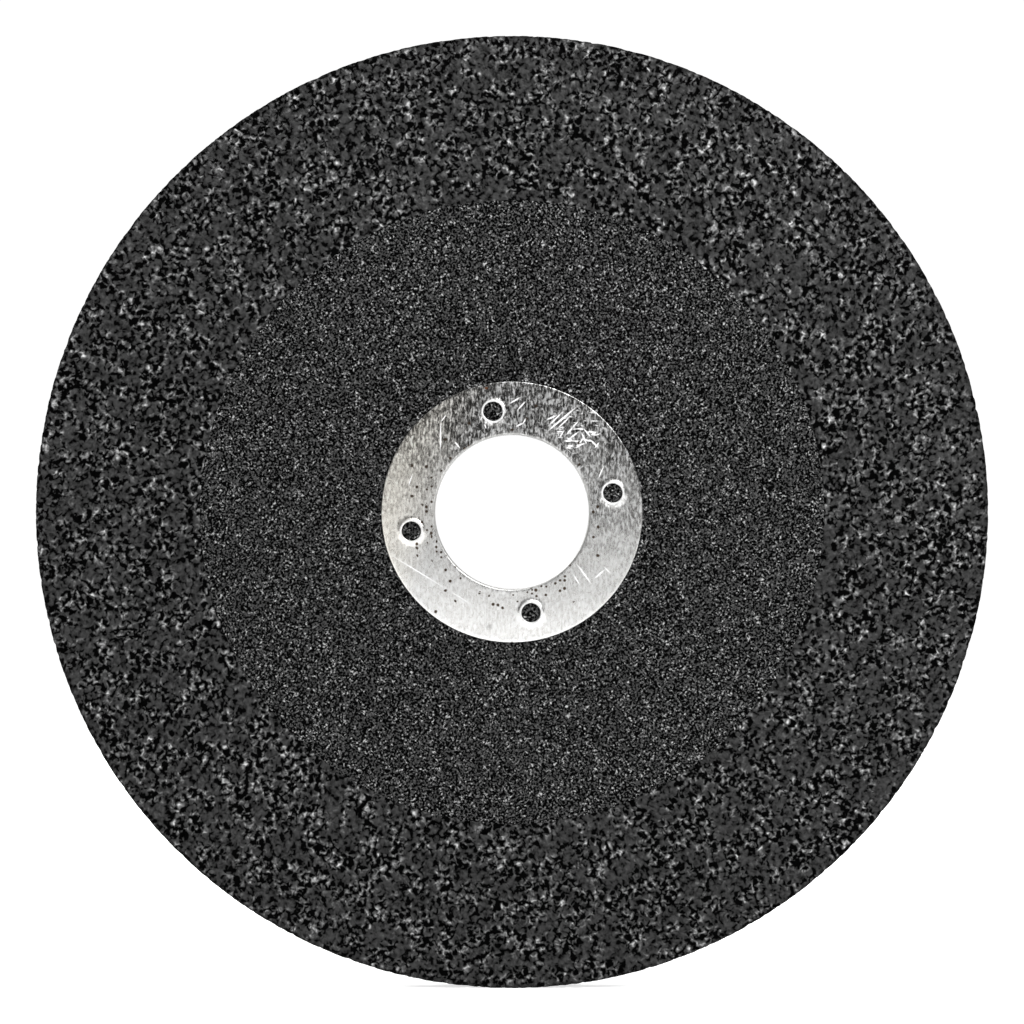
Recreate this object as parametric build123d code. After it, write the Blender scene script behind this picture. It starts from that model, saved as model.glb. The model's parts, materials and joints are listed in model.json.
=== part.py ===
from build123d import *
import os
from math import cos, radians, sin

# Flat resin-bonded abrasive disc for an angle grinder, 100 mm across, 3 mm thick, for a 16 mm spindle pilot.
# It is a pressed stack: a coarse front layer with a fine-grit hub layer let into it, a core layer and a back
# layer, with glass meshes between them, a steel arbor ring through the middle and a paper label on the back.
#
# Every sub-part is built as a stack with its axis along local Z: the front face is up, the back face is down,
# and height 0 is the middle of the disc's thickness. The last step lays the stack on its side, so that the disc
# stands upright with its axis along Y and its front face towards -Y. The origin is on the axis of the bore.
# All sizes are in millimetres.

# Disc
disc_diameter = 100.0
disc_thickness = 3.0
hub_layer_diameter = 65.5

# Heights of the planes between layers, each in the middle of a mesh
hub_mesh_height = 0.95
front_mesh_height = 0.25
back_mesh_height = -1.0

# Glass mesh: flattened yarns, one set each side of the mesh's plane
yarn_pitch = 5.0
yarn_width = 1.1
yarn_depth = 0.22
hub_mesh_turn = 45.0
front_mesh_turn = 0.0
back_mesh_turn = 45.0

# Arbor ring, pressed from sheet steel
sheet = 0.4
bore_diameter = 16.25
flange_diameter = 27.4
flange_proud = 0.25
neck_entry_radius = 0.2
flange_edge_radius = 0.12

# Keying holes in the flange, each with a raised punched lip
key_count = 4
key_circle_diameter = 21.5
key_diameter = 2.0
key_first_angle = 10.7
lip_width = 0.36
lip_height = 0.12
plug_below_flange = 0.15

# Paper label on the back
label_diameter = 74.0
label_thickness = 0.12

# Worked out from the sizes above
front_face = disc_thickness / 2
back_face = -disc_thickness / 2
disc_radius = disc_diameter / 2
hub_layer_radius = hub_layer_diameter / 2
bore_radius = bore_diameter / 2
neck_radius = bore_radius + sheet
flange_radius = flange_diameter / 2
flange_top = front_face + flange_proud
flange_seat = flange_top - sheet
key_radius = key_diameter / 2
label_seat = back_face + label_thickness
lip_inner_height = 0.75 * lip_height
key_angles = [key_first_angle + 360.0 / key_count * i for i in range(key_count)]
key_centres = [
    (key_circle_diameter / 2 * cos(radians(a)), key_circle_diameter / 2 * sin(radians(a)))
    for a in key_angles
]

# How far a cutting post runs past the face that it opens
past_face = 1.0


def post(radius, low, high, centre=(0, 0)):
    """A round post between two heights."""
    at = Pos(centre[0], centre[1], low)
    return at * Cylinder(radius, high - low, align=(Align.CENTER, Align.CENTER, Align.MIN))


def washer(outer_radius, inner_radius, low, high):
    """A flat ring between two heights, with a through hole that has clean walls."""
    return post(outer_radius, low, high) - post(inner_radius, low - past_face, high + past_face)


def yarn_profile(upward):
    """Section of a flattened yarn: flat on the mesh's plane and crowned on its other side."""
    crown = yarn_depth if upward else -yarn_depth
    with BuildSketch() as section:
        with BuildLine():
            ThreePointArc((-yarn_width / 2, 0), (0, crown), (yarn_width / 2, 0))
            Line((yarn_width / 2, 0), (-yarn_width / 2, 0))
        make_face()
    return section.sketch


def yarn_set(radius, height, turn, upward):
    """One set of parallel yarns, die-cut round to a radius and open round the ring's neck."""
    half_row = int(radius / yarn_pitch)
    offsets = [yarn_pitch * (i + 0.5) for i in range(-half_row, half_row)]
    blank = washer(radius, neck_radius, height - yarn_depth, height + yarn_depth)
    yarns = []
    for offset in offsets:
        plane = Plane(origin=(offset, -radius, height), x_dir=(1, 0, 0), z_dir=(0, 1, 0))
        bar = extrude(plane * yarn_profile(not upward), amount=2 * radius)
        yarns += (Rot(0, 0, turn) * bar & blank).solids()
    return yarns


def mesh_yarns(radius, height, turn):
    """A mesh: the upper set of yarns and, across it, the lower set."""
    return yarn_set(radius, height, turn, True), yarn_set(radius, height, turn + 90, False)


def cut_grooves(layer, yarns):
    """The layer, less the grooves that a set of yarns lies in."""
    return layer - yarns


def arbor_ring():
    """Flange and neck in one pressing, with the punched keying holes and their lips."""
    entry = neck_entry_radius
    edge = flange_edge_radius
    slant = cos(radians(45))
    with BuildSketch(Plane.XZ) as half_section:
        with BuildLine():
            Line((bore_radius, back_face), (neck_radius, back_face))
            Line((neck_radius, back_face), (neck_radius, flange_seat))
            Line((neck_radius, flange_seat), (flange_radius, flange_seat))
            Line((flange_radius, flange_seat), (flange_radius, flange_top - edge))
            ThreePointArc(
                (flange_radius, flange_top - edge),
                (flange_radius - edge + edge * slant, flange_top - edge + edge * slant),
                (flange_radius - edge, flange_top),
            )
            Line((flange_radius - edge, flange_top), (bore_radius + entry, flange_top))
            ThreePointArc(
                (bore_radius + entry, flange_top),
                (bore_radius + entry - entry * slant, flange_top - entry + entry * slant),
                (bore_radius, flange_top - entry),
            )
            Line((bore_radius, flange_top - entry), (bore_radius, back_face))
        make_face()
    ring = revolve(half_section.sketch, Axis.Z)
    for centre in key_centres:
        ring = ring + key_lip(centre)
    for centre in key_centres:
        ring = ring - post(key_radius, flange_seat - past_face, flange_top + past_face, centre)
    return ring


def key_lip(centre):
    """Rounded collar that the punch raises round a keying hole. It runs down into the flange."""
    inner = key_radius
    outer = key_radius + lip_width
    with BuildSketch(Plane.XZ) as half_section:
        with BuildLine():
            Line((inner / 2, 0), (outer, 0))
            ThreePointArc((outer, 0), ((inner + outer) / 2, lip_height), (inner, lip_inner_height))
            Line((inner, lip_inner_height), (inner / 2, lip_inner_height))
            Line((inner / 2, lip_inner_height), (inner / 2, 0))
        make_face()
    return Pos(centre[0], centre[1], flange_top) * revolve(half_section.sketch, Axis.Z)


def fine_hub_layer(hub_warp):
    """Fine-grit disc let into the front, with the flange's seat and the plugs that key it."""
    layer = washer(hub_layer_radius, neck_radius, hub_mesh_height, front_face)
    layer = layer - post(flange_radius, flange_seat, front_face + past_face)
    for centre in key_centres:
        layer = layer + post(key_radius, flange_seat, flange_top - plug_below_flange, centre)
    return cut_grooves(layer, hub_warp)


def coarse_front_layer(hub_weft, front_warp):
    """Coarse-grit layer of the front, with a pocket for the hub layer."""
    layer = washer(disc_radius, neck_radius, front_mesh_height, front_face)
    layer = layer - post(hub_layer_radius, hub_mesh_height, front_face + past_face)
    return cut_grooves(cut_grooves(layer, hub_weft), front_warp)


def core_layer(front_weft, back_warp):
    """Grit and resin between the two full-size meshes."""
    layer = washer(disc_radius, neck_radius, back_mesh_height, front_mesh_height)
    return cut_grooves(cut_grooves(layer, front_weft), back_warp)


def back_layer(back_weft):
    """Grit and resin behind the back mesh, with a shallow seat for the label."""
    layer = washer(disc_radius, neck_radius, back_face, back_mesh_height)
    layer = layer - post(label_diameter / 2, back_face - past_face, label_seat)
    return cut_grooves(layer, back_weft)


def back_label():
    """Paper label, flush with the back face."""
    return washer(label_diameter / 2, neck_radius, back_face, label_seat)


def write(name, solids):
    """Lays the stack on its side, front face towards -Y, and writes one node."""
    upright = [Rot(90, 0, 0) * s for s in solids]
    for number, solid in enumerate(upright):
        solid.label = name if len(upright) == 1 else f"{name}_{number + 1}"
    shape = upright[0] if len(upright) == 1 else Compound(label=name, children=upright)
    export_step(shape, f"parts/{name}.step")


hub_warp, hub_weft = mesh_yarns(hub_layer_radius, hub_mesh_height, hub_mesh_turn)
front_warp, front_weft = mesh_yarns(disc_radius, front_mesh_height, front_mesh_turn)
back_warp, back_weft = mesh_yarns(disc_radius, back_mesh_height, back_mesh_turn)

os.makedirs("parts", exist_ok=True)
write("arbor_ring", arbor_ring().solids())
write("fine_hub_layer", fine_hub_layer(hub_warp).solids())
write("hub_mesh_warp", hub_warp)
write("hub_mesh_weft", hub_weft)
write("coarse_front_layer", coarse_front_layer(hub_weft, front_warp).solids())
write("front_mesh_warp", front_warp)
write("front_mesh_weft", front_weft)
write("core_layer", core_layer(front_weft, back_warp).solids())
write("back_mesh_warp", back_warp)
write("back_mesh_weft", back_weft)
write("back_layer", back_layer(back_weft).solids())
write("back_label", back_label().solids())
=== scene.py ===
import json
from math import atan2, cos, hypot, pi, radians, sin, tau

import bmesh
import bpy
import numpy as np
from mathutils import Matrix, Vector
from mathutils.geometry import delaunay_2d_cdt


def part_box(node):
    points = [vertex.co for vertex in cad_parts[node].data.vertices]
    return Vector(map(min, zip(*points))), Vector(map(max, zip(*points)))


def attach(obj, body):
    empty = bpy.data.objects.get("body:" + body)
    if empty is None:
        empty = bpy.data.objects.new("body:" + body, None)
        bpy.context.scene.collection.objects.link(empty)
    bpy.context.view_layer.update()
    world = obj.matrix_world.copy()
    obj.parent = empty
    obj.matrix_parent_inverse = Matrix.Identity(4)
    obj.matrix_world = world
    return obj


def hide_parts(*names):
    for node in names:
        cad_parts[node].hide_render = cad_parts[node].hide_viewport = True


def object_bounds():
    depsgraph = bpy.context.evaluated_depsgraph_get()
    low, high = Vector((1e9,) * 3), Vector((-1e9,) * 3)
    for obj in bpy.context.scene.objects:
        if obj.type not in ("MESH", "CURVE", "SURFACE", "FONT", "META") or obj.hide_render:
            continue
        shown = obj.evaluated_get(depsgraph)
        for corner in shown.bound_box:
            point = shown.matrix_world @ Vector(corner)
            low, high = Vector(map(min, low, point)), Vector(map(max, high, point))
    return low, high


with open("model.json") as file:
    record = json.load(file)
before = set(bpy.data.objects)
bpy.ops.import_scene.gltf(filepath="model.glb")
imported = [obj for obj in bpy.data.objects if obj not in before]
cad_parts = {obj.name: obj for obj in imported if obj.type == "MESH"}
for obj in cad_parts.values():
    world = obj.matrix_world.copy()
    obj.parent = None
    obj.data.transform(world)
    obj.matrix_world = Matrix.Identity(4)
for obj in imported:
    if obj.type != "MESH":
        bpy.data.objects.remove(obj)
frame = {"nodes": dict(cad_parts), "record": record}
cad_low, cad_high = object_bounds()

# A flat abrasive disc that stands upright: its axis is Y and its front face looks towards -Y.
# Everything is in metres, in the CAD frame. A "height" is a distance in front of the disc's middle, along -Y,
# and an angle is counted from +X towards +Z, anticlockwise as seen from the front.
MM = 0.001


def span(node):
    """A node's outer radius, and its lowest and highest height."""
    low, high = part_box(node)
    return high.x, -high.y, -low.y


mounts = {m["name"]: m for m in frame["record"]["mounts"]}
bore_radius = mounts["arbor_bore"]["dims"]["r_mm"] * MM
disc_radius, front_plane, front = span("coarse_front_layer")
hub_radius, hub_plane, plug_top = span("fine_hub_layer")
back_plane = span("core_layer")[1]
flange_radius, back, lip_top = span("arbor_ring")
label_radius, _, label_seat = span("back_label")

# Sizes that a node's box doesn't give, as in the CAD model
SHEET = 0.4 * MM                      # thickness of the ring's sheet steel
LIP_HEIGHT = 0.12 * MM
LIP_WIDTH = 0.36 * MM
ENTRY_RADIUS = 0.2 * MM               # rounding at the bore's front mouth
EDGE_RADIUS = 0.12 * MM               # rounding at the flange's outer edge
KEY_CIRCLE = 10.75 * MM               # radius of the circle that the keying holes lie on
KEY_RADIUS = 1.0 * MM
KEY_ANGLES = [radians(10.7 + 90 * i) for i in range(4)]
KEY_CENTRES = [(KEY_CIRCLE * cos(a), KEY_CIRCLE * sin(a)) for a in KEY_ANGLES]
YARN_PITCH = 5.0 * MM
YARN_WIDTH = 1.1 * MM
MESH_TURN = radians(45)               # turn of the back mesh
neck_radius = bore_radius + SHEET
flange_top = lip_top - LIP_HEIGHT
flange_seat = flange_top - SHEET


# ---------------------------------------------------------------- relief fields

class Grit:
    """A field of angular grains on a jittered grid. Each grain is a tilted, five-sided plateau with steep sides.
    The surface is the highest grain at each point, down to a floor of resin. It repeats every `cells` grains."""

    def __init__(self, size, seed, cells=509, missing=0.16, tilt=0.55, floor=0.75):
        self.size, self.cells, self.floor = size, cells, floor * size
        self.sides, self.steep = 5, 1.7
        shape = (cells, cells)
        rng = np.random.default_rng(seed)
        self.jitter = rng.random((2, *shape)) * 0.9 + 0.05
        self.turn = rng.random(shape) * tau
        self.radius = 0.34 + 0.30 * rng.random(shape)
        self.stretch = 1.0 + 0.75 * rng.random(shape)
        self.tilt = (rng.random((2, *shape)) - 0.5) * 2 * tilt
        self.level = -0.34 * rng.random(shape) ** 1.5
        self.level[rng.random(shape) < missing] = -2.0

    def sample(self, u, v):
        """Height at the points (u, v): 0 where a grain reaches the face, negative below it."""
        column, row = np.floor(u / self.size).astype(int), np.floor(v / self.size).astype(int)
        best = np.full(u.shape, -np.inf)
        for step in [(i, j) for i in (-1, 0, 1) for j in (-1, 0, 1)]:
            cell = (column + step[0]) % self.cells, (row + step[1]) % self.cells
            x = u / self.size - (column + step[0] + self.jitter[0][cell])
            y = v / self.size - (row + step[1] + self.jitter[1][cell])
            c, s = np.cos(self.turn[cell]), np.sin(self.turn[cell])
            along, across = (x * c + y * s) / self.stretch[cell], y * c - x * s
            edge = np.max([along * cos(tau * k / self.sides) + across * sin(tau * k / self.sides)
                           for k in range(self.sides)], axis=0)
            height = self.level[cell] + x * self.tilt[0][cell] + y * self.tilt[1][cell]
            best = np.maximum(best, height - self.steep * np.maximum(edge - self.radius[cell], 0))
        return np.clip(best * self.size, -self.floor, 0)


def smooth_noise(u, v, size, seed):
    """Noise between 0 and 1 with features of about the given size."""
    count = 257
    table = np.random.default_rng(seed).random((count, count))
    x, y = u / size, v / size
    i, j = np.floor(x).astype(int), np.floor(y).astype(int)
    fx, fy = x - i, y - j
    fx, fy = fx * fx * (3 - 2 * fx), fy * fy * (3 - 2 * fy)
    i, j, right, up = i % count, j % count, (i + 1) % count, (j + 1) % count
    low = table[i, j] * (1 - fx) + table[right, j] * fx
    high = table[i, up] * (1 - fx) + table[right, up] * fx
    return low * (1 - fy) + high * fy


def yarn_relief(x, z):
    """How much the back mesh stands up at a place: 1 on the crown of a yarn, 0 in the mesh's openings."""
    relief = np.zeros(x.shape)
    for turn in (MESH_TURN, MESH_TURN + pi / 2):
        across = x * cos(turn) + z * sin(turn)
        offset = np.abs((across / YARN_PITCH) % 1.0 - 0.5) * YARN_PITCH
        relief = np.maximum(relief, np.sqrt(np.clip(1 - (offset / (YARN_WIDTH / 2)) ** 2, 0, 1)))
    return relief


COARSE = Grit(0.50 * MM, seed=11)
FINE = Grit(0.30 * MM, seed=23)
BACK = Grit(0.55 * MM, seed=41)
RIM_CELLS = 628
RIM = Grit(tau * disc_radius / RIM_CELLS, seed=37, cells=RIM_CELLS)

# How much of its field's depth each surface gets; the front gets all of it
RIM_SHARE, BACK_SHARE, PLUG_SHARE = 0.28, 0.45, 0.7
BACK_SUNK = 0.08 * MM                 # how far the back's grit lies under the crowns of the back mesh
YARN_COVER = 0.85                     # how much of the back's relief is lost on the crown of a yarn


# ---------------------------------------------------------------- mesh helpers

def upright(radius, angle, height):
    """Points of the standing disc from radius, angle and height."""
    return np.stack([radius * np.cos(angle), -height, radius * np.sin(angle)], axis=-1).reshape(-1, 3)


def band(rows, segments, closed=False):
    """Quads between rows of points that each go once round, and back to the first row if closed."""
    r = np.arange(rows if closed else rows - 1)[:, None]
    s = np.arange(segments)[None, :]
    following, right = (r + 1) % rows, (s + 1) % segments
    quads = [r * segments + s, r * segments + right, following * segments + right, following * segments + s]
    return np.stack(quads, axis=-1).reshape(-1, 4).tolist()


STRIPS = 8                            # the rim lies on a piece's flat map in this many strips, one below another


def flat_map(kinds, r, angle, height, hidden_at=(0.0, 0.0)):
    """Places on the piece's flat map for the corners of a closed band's faces. kinds names the surface of each
    row's stretch: the rim lies in strips, hidden walls ("") as rings round hidden_at, and all else as it is seen."""
    segments = r.shape[1]
    kinds = np.array(kinds)[:, None]
    hidden = np.cumsum(kinds == "", axis=0) - 1
    strip = np.arange(segments) * STRIPS // segments
    corners = []
    for down, right in ((0, 0), (0, 1), (1, 1), (1, 0)):
        a, reach, level = (np.roll(v, (-down, -right), axis=(0, 1)) for v in (angle, r, height))
        if right:
            a[:, -1] += tau
        seen = reach * np.cos(a), reach * np.sin(a)
        rim = (a - (strip + 0.5) * tau / STRIPS) * disc_radius, level - height.max() - (1 + 2 * strip) * MM
        wall = (2 + hidden + down) * MM
        ring = hidden_at[0] + wall * np.cos(a), hidden_at[1] + wall * np.sin(a)
        corners.append([np.where(kinds == "", ring[i], np.where(kinds == "rim", rim[i], seen[i])) for i in (0, 1)])
    return np.array(corners).transpose(2, 3, 0, 1).reshape(-1, 2)


def make_piece(name, shells, material, node, map_width, crease=None):
    """One object from closed shells, each (points, faces, fields, flat), where flat holds the place of every face
    corner on a flat map that is map_width wide. The object rides on the disc and replaces a node.
    crease is the angle above which edges stay sharp; without one, every face is flat."""
    points, faces, fields = [], [], {}
    for shell_points, shell_faces, shell_fields, _ in shells:
        start = sum(len(p) for p in points)
        points.append(shell_points)
        faces += [[i + start for i in face] for face in shell_faces]
        for field, values in shell_fields.items():
            fields.setdefault(field, []).append(values)
    mesh = bpy.data.meshes.new(name)
    mesh.from_pydata(np.concatenate(points).tolist(), [], faces)
    flat_places = 0.5 + np.concatenate([shell[3] for shell in shells]) / map_width
    mesh.uv_layers.new(name="OFBake").data.foreach_set("uv", flat_places.astype(np.float32).ravel())
    for field, values in fields.items():
        values = np.concatenate(values).astype(np.float32)
        mesh.attributes.new(field, "FLOAT", "POINT").data.foreach_set("value", values)
    shape = bmesh.new()
    shape.from_mesh(mesh)
    bmesh.ops.recalc_face_normals(shape, faces=shape.faces)
    shape.to_mesh(mesh)
    shape.free()
    mesh.polygons.foreach_set("use_smooth", [crease is not None] * len(mesh.polygons))
    if crease is not None:
        mesh.set_sharp_from_angle(angle=crease)
    mesh.materials.append(material)
    obj = bpy.data.objects.new(name, mesh)
    bpy.context.scene.collection.objects.link(obj)
    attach(obj, "root")
    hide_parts(node)
    return obj


# ---------------------------------------------------------------- layers of grit

def layer_shell(outline, segments, step, seed, grit=COARSE, hidden_at=(0.0, 10 * MM)):
    """A closed ring of grit. outline lists its corners as (radius, height, surface of the stretch that follows),
    where surface is "front", "back", "rim" or "". The named surfaces are divided finely and roughened inwards."""
    rng = np.random.default_rng(seed)
    wobble = 0.32                     # how far the points stray from an even grid, as a share of its step
    rows, kinds = [], []
    for number, (corner, following) in enumerate(zip(outline, outline[1:] + outline[:1])):
        length = abs(following[0] - corner[0]) + abs(following[1] - corner[1])
        count = max(1, round(length / step)) if corner[2] else 1
        kinds += [corner[2]] * count
        for i in range(count):
            place = [corner[k] + (following[k] - corner[k]) * i / count for k in (0, 1)]
            rows.append((*place, {corner[2], outline[number - 1][2]} if i == 0 else {corner[2]}))
    angle = np.tile(np.arange(segments) * tau / segments, (len(rows), 1))
    r = np.array([np.full(segments, row[0]) for row in rows])
    h = np.array([np.full(segments, row[1]) for row in rows])
    depth, yarn = np.zeros(r.shape), np.zeros(r.shape)
    for k, (_, _, surfaces) in enumerate(rows):
        if surfaces in ({"front"}, {"back"}, {"rim"}):
            angle[k] += wobble * tau / segments * rng.uniform(-1, 1, segments)
            moved = h if surfaces == {"rim"} else r
            moved[k] += wobble * step * rng.uniform(-1, 1, segments)
    for k, (_, _, surfaces) in enumerate(rows):
        x, z = r[k] * np.cos(angle[k]), r[k] * np.sin(angle[k])
        if "front" in surfaces:
            depth[k] = grit.sample(x, z)
            h[k] += depth[k]
        if "back" in surfaces:
            yarn[k] = yarn_relief(x, z)
            depth[k] = (BACK_SHARE * BACK.sample(x, z) - BACK_SUNK) * (1 - YARN_COVER * yarn[k])
            h[k] -= depth[k]
    for k, (_, _, surfaces) in enumerate(rows):
        if "rim" in surfaces:
            sunk = RIM.sample(angle[k] * disc_radius, h[k])
            r[k] += RIM_SHARE * sunk
            depth[k] = np.minimum(depth[k], sunk)
    fields = {"grain_depth": (depth / grit.size).ravel(), "yarn": yarn.ravel()}
    flat = flat_map(kinds, r, angle, h, hidden_at)
    return upright(r, angle, h), band(len(rows), segments, closed=True), fields, flat


def plug_shell(centre, rings=9, segments=40):
    """A stub of grit that fills a keying hole from the flange's seat up to just below its face."""
    loops = [circle(KEY_RADIUS * (rings - i) / rings, segments, centre) for i in range(rings)]
    top = np.concatenate(loops + [[centre]])
    sunk = PLUG_SHARE * FINE.sample(top[:, 0], top[:, 1])
    floor = flange_seat - 0.05 * MM                                 # a little way into the hub layer
    foot = np.concatenate([loops[0], [centre]])
    points = np.concatenate([np.stack([top[:, 0], -(plug_top + sunk), top[:, 1]], axis=-1),
                             np.stack([foot[:, 0], np.full(len(foot), -floor), foot[:, 1]], axis=-1)])
    faces = band(rings, segments)
    flat = [top[face] for face in faces]
    hub, start = len(top) - 1, len(top)
    skirt = circle(1.25 * KEY_RADIUS, segments, centre)
    tucked = (foot - centre) * 0.4 + np.array(centre) * 0.1         # the hidden foot, small in the map's middle
    for s in range(segments):
        right = (s + 1) % segments
        faces.append([hub - segments + s, hub - segments + right, hub])
        flat.append(top[faces[-1]])
        faces.append([s, right, start + right, start + s])
        flat.append([foot[s], foot[right], skirt[right], skirt[s]])
        faces.append([start + s, start + right, start + segments])
        flat.append(tucked[[s, right, segments]])
    depth = np.concatenate([sunk / FINE.size, np.zeros(len(foot))])
    return points, faces, {"grain_depth": depth, "yarn": np.zeros(len(depth))}, np.concatenate(flat)


# ---------------------------------------------------------------- arbor ring

DISH = 0.11 * MM                      # how far the flange falls towards its outer edge
WAVE = 0.012 * MM                     # depth of the waves in its face
RING_SEGMENTS = 360
HOLE_SEGMENTS = 64
EDGE_STEPS = 4                        # rows over the rounded outer edge
MOUTH_STEPS = 8                       # rows over the rounded mouth of the bore
FACE_SPACING, UNDER_SPACING = 0.30 * MM, 1.2 * MM     # between the points strewn over the face and underneath
EDGE_HIGHLIGHT = 0.53                      # painted highlight: the outer edge is made bright, this far towards the lips' finish


def circle(radius, count, centre=(0.0, 0.0)):
    turns = np.arange(count) * tau / count
    return np.stack([centre[0] + radius * np.cos(turns), centre[1] + radius * np.sin(turns)], axis=-1)


def flange_face(x, z):
    """Height of the flange's slightly dished front at a place."""
    start = bore_radius + ENTRY_RADIUS
    share = np.clip((np.hypot(x, z) - start) / (flange_radius - start), 0, 1)
    return flange_top - DISH * share ** 1.5


def holed_sheet(outer, inner, hole, spacing, seed):
    """Triangles over the flange between two circles, round the four keying holes. The points come loop by loop:
    outer circle, inner circle, the holes, then points strewn over the sheet."""
    loops = [circle(outer, RING_SEGMENTS), circle(inner, RING_SEGMENTS)]
    loops += [circle(hole, HOLE_SEGMENTS, centre) for centre in KEY_CENTRES]
    rng = np.random.default_rng(seed)
    steps = np.arange(-outer, outer, spacing)
    strewn = np.stack(np.meshgrid(steps, steps), axis=-1).reshape(-1, 2)
    strewn = strewn + rng.uniform(-0.3, 0.3, strewn.shape) * spacing
    gap = 0.5 * spacing
    reach = np.hypot(strewn[:, 0], strewn[:, 1])
    keep = (reach < outer - gap) & (reach > inner + gap)
    for x, z in KEY_CENTRES:
        keep &= np.hypot(strewn[:, 0] - x, strewn[:, 1] - z) > hole + gap
    points = np.concatenate(loops + [strewn[keep]])
    edges, loop_of, start = [], [], 0
    for number, loop in enumerate(loops):
        edges += [(start + i, start + (i + 1) % len(loop)) for i in range(len(loop))]
        loop_of += [number] * len(loop)
        start += len(loop)
    loop_of += [None] * int(keep.sum())
    result = delaunay_2d_cdt([Vector(p) for p in points.tolist()], edges, [], 0, 1e-9)
    sources = [original[0] for original in result[3]]
    faces = []
    for face in result[2]:
        corners = [sources[i] for i in face]
        rings = {loop_of[i] for i in corners}
        in_opening = len(rings) == 1 and rings.isdisjoint({0, None})
        if not in_opening:
            faces.append(corners)
    return points, faces


def ring_shell():
    """The arbor ring in one closed surface: dished flange, rounded edge, neck, bore with a rounded mouth, and the
    keying holes with their punched lips. Slight waves and uneven burrs come from noise."""
    points, faces, flat = [], [], []

    def add(xz, height):
        points.append(np.stack([xz[:, 0], -np.broadcast_to(height, len(xz)), xz[:, 1]], axis=-1))
        return sum(len(p) for p in points[:-1])

    def join(first, second, near, far, count=RING_SEGMENTS, centre=(0.0, 0.0)):
        """Quads from loop to loop. On the flat map the two loops have the radii near and far."""
        inside, outside = circle(near, count, centre), circle(far, count, centre)
        for s in range(count):
            right = (s + 1) % count
            faces.append([first + s, first + right, second + right, second + s])
            flat.append([inside[s], inside[right], outside[right], outside[s]])
        return second

    top_xz, top_faces = holed_sheet(flange_radius - EDGE_RADIUS, bore_radius + ENTRY_RADIUS,
                                    KEY_RADIUS + LIP_WIDTH, FACE_SPACING, 3)
    under_xz, under_faces = holed_sheet(flange_radius, neck_radius, KEY_RADIUS, UNDER_SPACING, 4)
    wave = WAVE * (smooth_noise(top_xz[:, 0], top_xz[:, 1], 2.2 * MM, 5) - 1)
    face_height = flange_face(top_xz[:, 0], top_xz[:, 1])
    on_loop = 2 * RING_SEGMENTS + len(KEY_CENTRES) * HOLE_SEGMENTS
    wave[:on_loop] = 0
    top = add(top_xz, face_height + wave)
    under = add(under_xz, flange_seat)
    faces += [[i + top for i in face] for face in top_faces]
    flat += [top_xz[face] for face in top_faces]
    faces += [[i + under for i in face] for face in under_faces]
    flat += [0.25 * under_xz[face] for face in under_faces]   # hidden, so small in the map's middle

    edge_height = flange_face(flange_radius - EDGE_RADIUS, 0.0)
    last, near = top, flange_radius - EDGE_RADIUS           # outer edge, from the face to the underside
    for k in range(1, EDGE_STEPS + 1):
        a = pi / 2 * k / EDGE_STEPS
        radius, far = flange_radius - EDGE_RADIUS * (1 - sin(a)), flange_radius - EDGE_RADIUS * (1 - a)
        last = join(last, add(circle(radius, RING_SEGMENTS), edge_height - EDGE_RADIUS * (1 - cos(a))), near, far)
        near = far
    join(last, under, near, near + 0.15 * MM)

    last, near = top + RING_SEGMENTS, bore_radius + ENTRY_RADIUS    # bore, from the rounded mouth to the back
    for k in range(1, MOUTH_STEPS + 1):
        a = pi / 2 * k / MOUTH_STEPS
        radius, far = bore_radius + ENTRY_RADIUS * (1 - sin(a)), bore_radius + ENTRY_RADIUS * (1 - a)
        last = join(last, add(circle(radius, RING_SEGMENTS), flange_top - ENTRY_RADIUS * (1 - cos(a))), near, far)
        near = far
    soft = 0.08 * MM                                        # bevel at the neck's back end
    for radius, height, depth in ((bore_radius, back + soft, 3.0 * MM), (bore_radius + soft, back, 0.1 * MM),
                                  (neck_radius - soft, back, 0.25 * MM), (neck_radius, back + soft, 0.1 * MM)):
        last = join(last, add(circle(radius, RING_SEGMENTS), height), near, near - depth)
        near -= depth
    join(last, under + RING_SEGMENTS, near, near - 0.3 * MM)

    # section of a lip, from its foot to the hole: shares of its width and of its height
    profile = ((0.86, 0.36), (0.68, 0.72), (0.50, 0.93), (0.34, 1.0), (0.18, 0.93), (0.06, 0.72), (0.0, 0.30))
    for number, centre in enumerate(KEY_CENTRES):           # punched lips and the walls of the holes
        first = 2 * RING_SEGMENTS + number * HOLE_SEGMENTS
        turns = np.arange(HOLE_SEGMENTS) * tau / HOLE_SEGMENTS
        burr = 0.88 + 0.12 * smooth_noise(3 * np.cos(turns), 3 * np.sin(turns) + 7 * number, 1.0, 8)
        last, near = top + first, KEY_RADIUS + LIP_WIDTH
        for share, height in profile:
            far = KEY_RADIUS + LIP_WIDTH * share
            loop = circle(far, HOLE_SEGMENTS, centre)
            raised = flange_face(loop[:, 0], loop[:, 1]) + LIP_HEIGHT * height * burr
            last = join(last, add(loop, raised), near, far, HOLE_SEGMENTS, centre)
            near = far
        join(last, under + first, near, near - 0.4 * MM, HOLE_SEGMENTS, centre)
    points = np.concatenate(points)
    lip = (-points[:, 1] - flange_face(points[:, 0], points[:, 2])) / LIP_HEIGHT
    # painted highlight: the outer edge takes part of the lips' pale finish
    edge_highlight = np.where(np.hypot(points[:, 0], points[:, 2]) > flange_radius - 0.9 * EDGE_RADIUS, EDGE_HIGHLIGHT, 0.0)
    return points, faces, {"lip": np.clip(np.maximum(lip, edge_highlight), 0, 1)}, np.concatenate(flat)


# ---------------------------------------------------------------- label

PILLOW = 0.045 * MM                   # how far the paper sinks between the yarns
TOOTH = 0.03 * MM                     # unevenness from the grit under it
EDGE_SUNK = 0.02 * MM                 # how far its outer edge is pressed in


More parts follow.
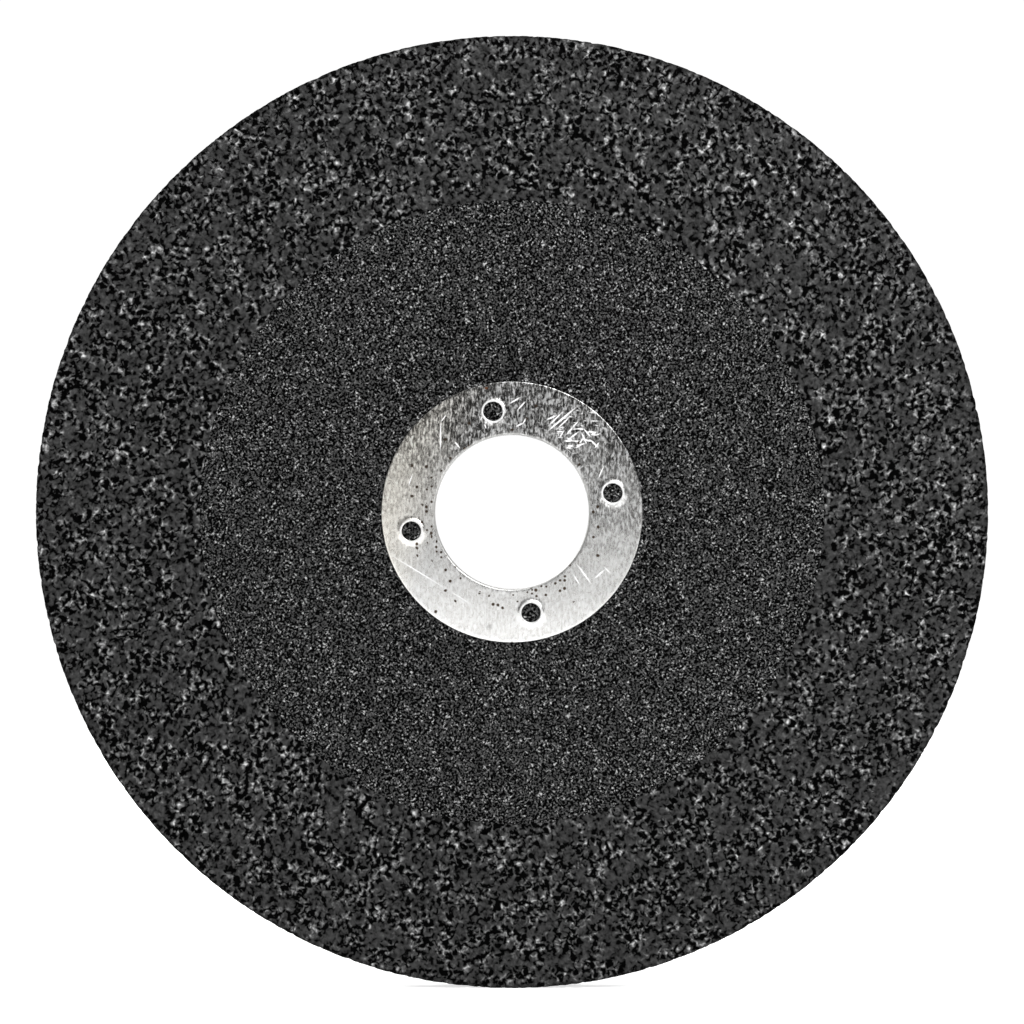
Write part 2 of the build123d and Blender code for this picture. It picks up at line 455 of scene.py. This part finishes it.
def label_shell(segments=520, step=0.45 * MM):
    """Thin paper over the back layer. It follows the mesh and the grit underneath, and sinks a little at its edge."""
    count = round((label_radius - neck_radius) / step)
    radii = np.append(np.linspace(neck_radius, label_radius, count + 1), (label_radius, neck_radius))
    angle = np.tile(np.arange(segments) * tau / segments, (len(radii), 1))
    r = np.tile(radii[:, None], (1, segments))
    x, z = r * np.cos(angle), r * np.sin(angle)
    crest = yarn_relief(x, z)
    height = back + PILLOW * (1 - crest) + TOOTH * smooth_noise(x, z, 0.9 * MM, 15)
    height[count] += EDGE_SUNK
    height[count + 1:] = label_seat
    flat = flat_map(["back"] * count + [""] * 3, r, angle, height)
    return upright(r, angle, height), band(len(radii), segments, closed=True), {"yarn": crest.ravel()}, flat


# ---------------------------------------------------------------- materials

def grey(level):
    """Linear colour of a neutral grey given as an 8-bit sRGB level."""
    c = level / 255
    c = c / 12.92 if c <= 0.04045 else ((c + 0.055) / 1.055) ** 2.4
    return (c, c, c)


class Nodes:
    """Short calls for building a material's node tree."""

    def __init__(self, name):
        self.material = bpy.data.materials.new(name)
        self.material.use_nodes = True
        self.tree = self.material.node_tree
        self.shader = self.tree.nodes["Principled BSDF"]
        self.object_place = self.new("ShaderNodeTexCoord").outputs["Object"]

    def new(self, kind, inputs=None, **options):
        node = self.tree.nodes.new(kind)
        for key, value in options.items():
            setattr(node, key, value)
        for key, value in (inputs or {}).items():
            if isinstance(value, bpy.types.NodeSocket):
                self.tree.links.new(value, node.inputs[key])
            else:
                node.inputs[key].default_value = value
        return node

    def math(self, operation, *values, clamp=False):
        return self.new("ShaderNodeMath", dict(enumerate(values)), operation=operation, use_clamp=clamp).outputs[0]

    def vector(self, operation, *values):
        node = self.new("ShaderNodeVectorMath", dict(enumerate(values)), operation=operation)
        return node.outputs["Value" if operation in ("LENGTH", "DOT_PRODUCT") else "Vector"]

    def mapped(self, turn=(0, 0, 0), scale=(1, 1, 1), place=(0, 0, 0), kind="POINT"):
        inputs = {"Vector": self.object_place, "Rotation": turn, "Scale": scale, "Location": place}
        return self.new("ShaderNodeMapping", inputs, vector_type=kind).outputs[0]

    def noise(self, vector, scale, detail=2.0, roughness=0.5, distortion=0.0):
        inputs = {"Vector": vector, "Scale": scale, "Detail": detail, "Roughness": roughness,
                  "Distortion": distortion}
        return self.new("ShaderNodeTexNoise", inputs).outputs["Fac"]

    def ramp(self, value, stops):
        """A colour ramp; each stop is (position, number) or (position, colour)."""
        node = self.new("ShaderNodeValToRGB", {"Fac": value})
        while len(node.color_ramp.elements) < len(stops):
            node.color_ramp.elements.new(0.5)
        for element, (position, colour) in zip(node.color_ramp.elements, stops):
            element.position = position
            element.color = (*colour, 1) if isinstance(colour, tuple) else (colour, colour, colour, 1)
        return node.outputs["Color"]

    def mix(self, factor, a, b, blend="MIX"):
        node = self.new("ShaderNodeMix", data_type="RGBA", blend_type=blend)
        for socket, value in (("Factor", factor), ("A", a), ("B", b)):
            target = next(s for s in node.inputs if s.name == socket and s.enabled)
            if isinstance(value, bpy.types.NodeSocket):
                self.tree.links.new(value, target)
            else:
                target.default_value = value if socket == "Factor" else (*value, 1)
        return next(s for s in node.outputs if s.enabled)

    def radius(self):
        """Distance from the disc's axis."""
        return self.vector("LENGTH", self.vector("MULTIPLY", self.object_place, (1, 0, 1)))

    def oval(self, x, z, width, height, turn=0.0):
        """0 in the middle of an oval on the disc's front and 1 on its outline. The middle and radii are in mm."""
        place = self.mapped((0, turn, 0), (width * MM, 1, height * MM), (x * MM, 0, z * MM), "TEXTURE")
        return self.vector("LENGTH", place)

    def attribute(self, name):
        return self.new("ShaderNodeAttribute", attribute_name=name).outputs["Fac"]

    def bump(self, height, strength, distance):
        inputs = {"Height": height, "Strength": strength, "Distance": distance}
        return self.new("ShaderNodeBump", inputs).outputs["Normal"]

    def finish(self, linked, **constants):
        """Links outputs to the shader's sockets, sets its numbers, and returns the material."""
        for socket, value in linked.items():
            self.tree.links.new(value, self.shader.inputs[socket])
        for socket, value in constants.items():
            self.shader.inputs[socket.replace("_", " ")].default_value = value
        return self.material


def grit_material(name, cell, turn, plateau, contrast, middle, tones):
    """Black silicon-carbide grit in dark resin: dull plateaus of resin, and between them rough stretches with
    black pores and bright broken grains. The pores' black is partly painted shade, and the grains' brightness
    is partly painted glint. cell is the size of the noise that the grains are made of, and plateau and contrast
    are the strength of the grain on the plateaus and between them, about a middle level. tones gives the 8-bit grey
    at each level."""
    m = Nodes(name)
    place = m.mapped(turn)
    depth, yarn = m.attribute("grain_depth"), m.attribute("yarn")
    grain = m.noise(place, 1 / cell, 1.0, 0.5, 0.45)
    rough = m.ramp(m.noise(place, 0.30 / cell), [(0.42, plateau), (0.58, contrast)])
    level = m.math("MULTIPLY_ADD", m.math("SUBTRACT", grain, 0.5), rough, middle)
    level = m.math("MULTIPLY_ADD", depth, 0.045, level)           # painted shade: grains that lie deeper are darker
    # painted shade and glint: the lowest levels are black like the shade in pores, the highest light like glints on
    # broken grains
    colour = m.ramp(level, [(position, grey(tone)) for position, tone in tones])
    radius = m.radius()
    # the front's outermost quarter of a millimetre is darker
    brink = m.math("MULTIPLY", m.ramp(m.math("DIVIDE", radius, disc_radius), [(0.993, 0.0), (0.998, 0.7)]),
                   m.ramp(m.vector("DOT_PRODUCT", m.object_place, (0, -1 / front, 0)), [(0.80, 0.0), (0.92, 1.0)]))
    colour = m.mix(brink, colour, grey(12))
    fibre = m.noise(m.mapped((0, radians(45), 0)), 9000)
    colour = m.mix(m.math("MULTIPLY", yarn, 0.5), colour, m.ramp(fibre, [(0.35, grey(30)), (0.65, grey(84))]))
    return m.finish({"Base Color": colour, "Roughness": m.ramp(level, [(0.4, 0.8), (0.75, 0.45)]),
                     "Normal": m.bump(level, 0.6, 0.3 * cell)}, Specular_IOR_Level=0.03)


# Scratches on the flange's front: where each starts and ends (mm across and up from the axis), and its width
SCRATCHES = [
    (3.3, 8.1, 7.2, 11.4, 0.26), (3.7, 8.9, 5.4, 10.6, 0.20), (4.6, 8.6, 6.2, 10.1, 0.20),
    (3.5, 9.6, 4.8, 10.2, 0.24), (-0.4, 11.3, 1.0, 12.1, 0.22), (0.5, 10.6, 1.5, 11.7, 0.22),
    (0.3, 8.9, 1.3, 9.4, 0.22), (1.1, 9.2, 1.5, 9.9, 0.18), (5.6, 8.0, 6.5, 9.0, 0.22),
    (5.9, 7.6, 7.1, 8.5, 0.22), (6.3, 8.8, 7.0, 9.6, 0.18), (4.9, 7.7, 5.5, 8.6, 0.18),
    (7.2, 8.5, 7.9, 7.0, 0.24), (7.4, 8.9, 8.3, 7.8, 0.20), (8.1, 7.7, 9.2, 6.6, 0.24),
    (8.6, 6.6, 9.2, 7.4, 0.20), (7.0, 7.1, 7.6, 7.9, 0.18), (9.0, 3.4, 9.7, 5.0, 0.16),
    (6.7, -5.3, 8.5, -7.8, 0.22), (8.5, -7.1, 9.9, -5.9, 0.22), (9.6, -5.7, 10.4, -6.5, 0.18),
    (6.4, -6.5, 7.2, -7.8, 0.18), (-6.1, 7.5, -5.4, 6.6, 0.22), (-7.5, 9.6, -7.5, 6.1, 0.20),
    (-7.5, 9.4, -6.9, 10.2, 0.16), (-2.9, 9.3, -2.7, 8.7, 0.20), (-12.9, -4.4, -6.5, -8.3, 0.15),
    (-6.5, -8.3, -4.1, -9.8, 0.14), (-10.9, 2.6, -10.4, 4.1, 0.15),
]


def scratch_mask(m):
    """1 along the scratches. Each is a long thin ellipse in the plane of the disc."""
    nearest = 9.0                     # far outside every ellipse
    for x0, z0, x1, z1, width in SCRATCHES:
        across, up = x1 - x0, z1 - z0
        oval = m.oval((x0 + x1) / 2, (z0 + z1) / 2, hypot(across, up) / 2, width / 2, -atan2(up, across))
        nearest = m.math("MINIMUM", nearest, oval)
    return m.ramp(nearest, [(0.45, 1.0), (1.0, 0.0)])


def steel_material():
    """Tin-plated sheet steel with an upright rolling grain, handling scratches, specks of dirt by the bore, a spot
    of rust and a stain. Painted shade and reflection darken it towards the top and lighten it at the bottom and the
    left, and painted highlights whiten the lips and the outer edge."""
    m = Nodes("steel_ring")
    lip = m.ramp(m.attribute("lip"), [(0.50, 0.0), (0.98, 0.85)])
    on_face = m.ramp(m.vector("DOT_PRODUCT", m.object_place, (0, -1 / flange_top, 0)), [(0.84, 0.0), (0.90, 1.0)])
    radius = m.radius()
    upper = m.math("MULTIPLY_ADD", m.vector("DOT_PRODUCT", m.object_place, (0.2, 0, 0.98)), 0.5 / flange_radius,
                   0.5)
    streak = m.noise(m.mapped((0, radians(8), 0), (1, 1, 0.28)), 5200, 1.0, 0.5, 0.5)
    mottle = m.noise(m.mapped((0.3, 0.1, 0.2), (1, 1, 0.65)), 3300, 2.0, 0.65, 0.8)
    cloud = m.noise(m.mapped(), 330, 3.0, 0.6)
    grain = m.math("MULTIPLY_ADD", mottle, 0.55, m.math("MULTIPLY", streak, 0.45))
    # painted shade and reflection: towards the top the steel turns a dark, mottled grey; cloud noise adds patches of
    # dull wear
    wear_and_top_shade = m.math("MULTIPLY_ADD", cloud, 0.5, m.math("MULTIPLY", upper, 0.75), clamp=True)
    clean = m.ramp(grain, [(0.36, (0.71, 0.70, 0.68)), (0.62, (0.98, 0.98, 0.97))])
    dull_and_shaded = m.ramp(grain, [(0.40, (0.06, 0.059, 0.057)), (0.50, (0.28, 0.277, 0.27)), (0.60, (0.92, 0.92, 0.92))])
    colour = m.mix(m.ramp(wear_and_top_shade, [(0.52, 0.0), (0.88, 1.0)]), clean, dull_and_shaded)
    # painted shade and reflection: the steel is lighter near the bottom edge and darker over the middle and top
    colour = m.mix(1.0, colour, m.ramp(upper, [(0.04, 0.95), (0.26, 0.74), (0.55, 0.74), (1.0, 0.86)]), "MULTIPLY")
    # painted reflection: the left side of the ring is lighter and warmer
    left_side_light = m.vector("DOT_PRODUCT", m.object_place, (-0.94 / flange_radius, 0, 0.34 / flange_radius))
    colour = m.mix(m.ramp(left_side_light, [(0.50, 0.0), (0.90, 1.0)]), colour, (1.46, 1.41, 1.31), "MULTIPLY")

    dots = m.new("ShaderNodeTexVoronoi", {"Vector": m.mapped((radians(-90), 0, 0)), "Scale": 2000},
                 voronoi_dimensions="2D")
    chance = m.new("ShaderNodeSeparateColor", {"Color": dots.outputs["Color"]}).outputs["Red"]
    crowd = m.ramp(m.math("DIVIDE", radius, flange_radius), [(0.63, 0.46), (0.72, 0.14), (0.85, 0.015)])
    lower_left = m.vector("DOT_PRODUCT", m.object_place, (-0.35 / flange_radius, 0, -0.35 / flange_radius))
    crowd = m.math("MULTIPLY", crowd, m.math("ADD", lower_left, 0.38, clamp=True))
    few = m.math("MULTIPLY", m.math("LESS_THAN", chance, crowd), on_face)
    distance = m.math("MULTIPLY", dots.outputs["Distance"], m.math("MULTIPLY_ADD", chance, 2.5, 0.75))
    spot = m.math("MULTIPLY", few, m.ramp(distance, [(0.20, 1.0), (0.34, 0.0)]))
    colour = m.mix(spot, colour, (0.07, 0.05, 0.035))
    rust = m.ramp(m.oval(-2.7, 13.0, 0.24, 0.16), [(0.5, 1.0), (1.0, 0.0)])
    colour = m.mix(m.math("MULTIPLY", rust, on_face), colour, (0.24, 0.09, 0.035))
    stain = m.ramp(m.oval(-2.4, -12.0, 0.55, 0.45), [(0.1, 0.55), (1.0, 0.0)])
    colour = m.mix(m.math("MULTIPLY", stain, m.math("SUBTRACT", 1.3, grain)), colour, (0.20, 0.195, 0.185))

    scuff = m.ramp(m.noise(m.mapped((0, radians(-48), 0), (0.30, 1, 1)), 3000, 1.0, 0.5, 0.9),
                   [(0.60, 0.0), (0.67, 1.0)])          # a patch of short, tangled scratches at the upper right
    patch = m.ramp(m.oval(6.6, 8.4, 4.6, 3.4), [(0.45, 0.9), (1.0, 0.0)])
    marks = m.math("MAXIMUM", scratch_mask(m), m.math("MULTIPLY", scuff, patch))
    scratch = m.math("MULTIPLY", marks, on_face)
    bright = m.math("MAXIMUM", m.math("MULTIPLY", scratch, 0.9), lip)
    colour = m.mix(scratch, colour, (0.92, 0.92, 0.92))
    # painted highlight: the lips and the outer edge are pale, and lighter towards the top
    colour = m.mix(lip, colour, m.ramp(upper, [(0.05, (0.68, 0.68, 0.68)), (0.45, (0.74, 0.74, 0.74)),
                                               (0.80, (0.88, 0.88, 0.88))]))
    mouth = m.ramp(m.math("DIVIDE", radius, bore_radius + ENTRY_RADIUS), [(0.975, 1.0), (1.0, 0.0)])
    colour = m.mix(m.math("MULTIPLY", mouth, on_face), colour, (0.42, 0.42, 0.41))
    relief = m.math("MULTIPLY", m.math("SUBTRACT", grain, 0.5), m.ramp(wear_and_top_shade, [(0.3, 0.35), (0.8, 1.0)]))
    rough = m.mix(m.math("MAXIMUM", bright, mouth), m.ramp(grain, [(0.35, 0.22), (0.65, 0.36)]), (0.62, 0.62, 0.62))
    metal = m.math("MULTIPLY_ADD", bright, -0.75, 1.0)
    return m.finish({"Base Color": colour, "Roughness": rough, "Metallic": metal,
                     "Normal": m.bump(relief, 1.0, 0.02 * MM)})


def paper_material():
    """Pale label paper with plain printed rings and no lettering, soiled and rubbed where yarns lie under it."""
    m = Nodes("label_paper")
    radius = m.radius()
    share = m.math("DIVIDE", radius, label_radius)
    fibres = m.noise(m.mapped(), 2600, 4.0, 0.6)
    soil = m.noise(m.mapped((0.2, 0.5, 0.1)), 190, 5.0, 0.62)
    rub = m.math("MULTIPLY_ADD", m.attribute("yarn"), 0.10, m.noise(m.mapped((0.4, 0.1, 0.3)), 1500, 5.0, 0.75))
    paper = m.ramp(fibres, [(0.3, (0.52, 0.50, 0.455)), (0.7, (0.68, 0.66, 0.605))])
    paper = m.mix(m.ramp(soil, [(0.46, 0.0), (0.72, 0.55)]), paper, (0.25, 0.235, 0.21))
    paper = m.mix(m.ramp(rub, [(0.55, 0.0), (0.68, 0.5)]), paper, (0.16, 0.152, 0.14))
    printed = m.ramp(share, [(0.405, 0.0), (0.407, 1.0), (0.425, 1.0), (0.427, 0.0), (0.80, 0.0), (0.802, 1.0),
                             (0.815, 1.0), (0.817, 0.0), (0.84, 0.0), (0.842, 1.0), (0.965, 1.0), (0.967, 0.0)])
    ink = m.math("MULTIPLY", printed, m.ramp(rub, [(0.50, 0.93), (0.66, 0.25)]))
    colour = m.mix(ink, paper, (0.04, 0.04, 0.043))
    return m.finish({"Base Color": colour, "Roughness": m.ramp(ink, [(0.0, 0.85), (1.0, 0.55)]),
                     "Normal": m.bump(m.math("ADD", fibres, rub), 0.5, 0.03 * MM)}, Specular_IOR_Level=0.2)


def yarn_material():
    """Glass yarn soaked in dark resin, with fine filaments that catch the light at the cut ends."""
    m = Nodes("glass_yarn")
    filaments = m.noise(m.mapped(), 11000)
    return m.finish({"Base Color": m.ramp(filaments, [(0.35, (0.09, 0.085, 0.07)), (0.65, (0.38, 0.36, 0.30))]),
                     "Normal": m.bump(filaments, 0.5, 0.03 * MM)}, Roughness=0.5)


# ---------------------------------------------------------------- the pieces

coarse_grit = grit_material(
    "coarse_grit", cell=0.50 * MM, turn=(0.6, 0.35, 0.9), plateau=0.33, contrast=1.24, middle=0.5,
    tones=((0.443, 0), (0.464, 34), (0.51, 52), (0.56, 63), (0.64, 94), (0.73, 135), (0.88, 209)))
fine_grit = grit_material(
    "fine_grit", cell=0.22 * MM, turn=(0.5, 0.75, 0.4), plateau=0.74, contrast=2.04, middle=0.4955,
    tones=((0.470, 0), (0.482, 34), (0.51, 55), (0.59, 62), (0.69, 86), (0.79, 116), (0.93, 180)))

GRIT_SEGMENTS, GRIT_STEP = 1180, 0.24 * MM       # fineness of the pieces of coarse grit
HUB_SEGMENTS, HUB_STEP = 940, 0.20 * MM
map_margin = 1.02
full_map = 2 * disc_radius * map_margin
strip_map = full_map / STRIPS * pi * map_margin

make_piece("coarse_front", [layer_shell(
    [(hub_radius, front, "front"), (disc_radius, front, "rim"), (disc_radius, front_plane, ""),
     (neck_radius, front_plane, ""), (neck_radius, hub_plane, ""), (hub_radius, hub_plane, "")],
    GRIT_SEGMENTS, GRIT_STEP, seed=5)], coarse_grit, "coarse_front_layer", full_map)

make_piece("fine_hub", [layer_shell(
    [(neck_radius, flange_seat, ""), (flange_radius, flange_seat, ""), (flange_radius, front, "front"),
     (hub_radius, front, ""), (hub_radius, hub_plane, ""), (neck_radius, hub_plane, "")],
    HUB_SEGMENTS, HUB_STEP, seed=6, grit=FINE, hidden_at=(0.0, 0.0))] + [plug_shell(c) for c in KEY_CENTRES],
    fine_grit, "fine_hub_layer", 2 * hub_radius * map_margin)

make_piece("core", [layer_shell(
    [(neck_radius, front_plane, ""), (disc_radius, front_plane, "rim"), (disc_radius, back_plane, ""),
     (neck_radius, back_plane, "")],
    GRIT_SEGMENTS, GRIT_STEP, seed=7)], coarse_grit, "core_layer", strip_map)

make_piece("back_skin", [layer_shell(
    [(neck_radius, back_plane, ""), (disc_radius, back_plane, "rim"), (disc_radius, back, "back"),
     (label_radius, back, ""), (label_radius, label_seat, ""), (neck_radius, label_seat, "")],
    GRIT_SEGMENTS, GRIT_STEP, seed=8)], coarse_grit, "back_layer", full_map)

make_piece("label", [label_shell()], paper_material(), "back_label",
           2 * label_radius * map_margin, crease=radians(40))
make_piece("ring", [ring_shell()], steel_material(), "arbor_ring",
           2 * flange_radius * map_margin, crease=radians(50))

yarn = yarn_material()
for node, obj in frame["nodes"].items():
    if "mesh" in node:
        obj.material_slots[0].material = yarn


# ---------------------------------------------------------------- stage, light and camera

def studio_floor(size, near=0.12, far=0.5):
    """White floor. Its own glow makes up, away from the object, for the light that doesn't reach so far."""
    mesh = bpy.data.meshes.new("floor")
    mesh.from_pydata([(-size, -size, 0), (size, -size, 0), (size, size, 0), (-size, size, 0)], [], [(0, 1, 2, 3)])
    m = Nodes("floor_white")
    reach = m.math("DIVIDE", m.vector("LENGTH", m.object_place), far)
    glow = m.ramp(reach, [(near / far, 0.70), (1.0, 0.90)])
    mesh.materials.append(m.finish({"Emission Strength": glow}, Base_Color=(0.8, 0.8, 0.8, 1), Roughness=0.8,
                                   Emission_Color=(1, 1, 1, 1)))
    floor = bpy.data.objects.new("floor", mesh)
    floor.location.z = cad_low.z
    bpy.context.scene.collection.objects.link(floor)


def soft_light(name, place, size, power, aim=(0, 0, 0)):
    lamp = bpy.data.lights.new(name, "AREA")
    lamp.shape = "RECTANGLE"
    lamp.size, lamp.size_y = size
    lamp.energy = power
    obj = bpy.data.objects.new(name, lamp)
    obj.location = place
    obj.rotation_euler = (Vector(aim) - Vector(place)).to_track_quat("-Z", "Y").to_euler()
    bpy.context.scene.collection.objects.link(obj)


def studio_world(seen, lit):
    """White behind the object, and a dimmer, even light on it."""
    world = bpy.data.worlds.new("studio")
    world.use_nodes = True
    tree = world.node_tree
    mix = tree.nodes.new("ShaderNodeMixShader")
    tree.links.new(tree.nodes.new("ShaderNodeLightPath").outputs["Is Camera Ray"], mix.inputs[0])
    for number, strength in enumerate((lit, seen)):
        shade = tree.nodes.new("ShaderNodeBackground")
        shade.inputs["Color"].default_value = (1, 1, 1, 1)
        shade.inputs["Strength"].default_value = strength
        tree.links.new(shade.outputs[0], mix.inputs[number + 1])
    tree.links.new(mix.outputs[0], tree.nodes["World Output"].inputs["Surface"])
    return world


def straight_camera(lens=100.0, sensor=36.0, width=107.5 * MM):
    """A camera square to the front face, whose frame is the given width at that face."""
    data = bpy.data.cameras.new("camera")
    data.lens, data.sensor_width, data.clip_start = lens, sensor, 10 * MM
    camera = bpy.data.objects.new("camera", data)
    camera.location = (0, -front - width * lens / sensor, 0)
    camera.rotation_euler = (pi / 2, 0, 0)
    bpy.context.scene.collection.objects.link(camera)
    return camera


studio_floor(size=3.0)
soft_light("key", (0.11, -0.13, 0.20), size=(0.22, 0.22), power=0.92)
soft_light("fill", (-0.13, 0.20, 0.16), size=(0.24, 0.24), power=0.62)
soft_light("overhead", (0, 0, 0.50), size=(0.9, 0.9), power=1.0)
scene = bpy.context.scene
scene.world = studio_world(seen=1.05, lit=0.2)
scene.camera = straight_camera()
scene.view_settings.view_transform = "Standard"
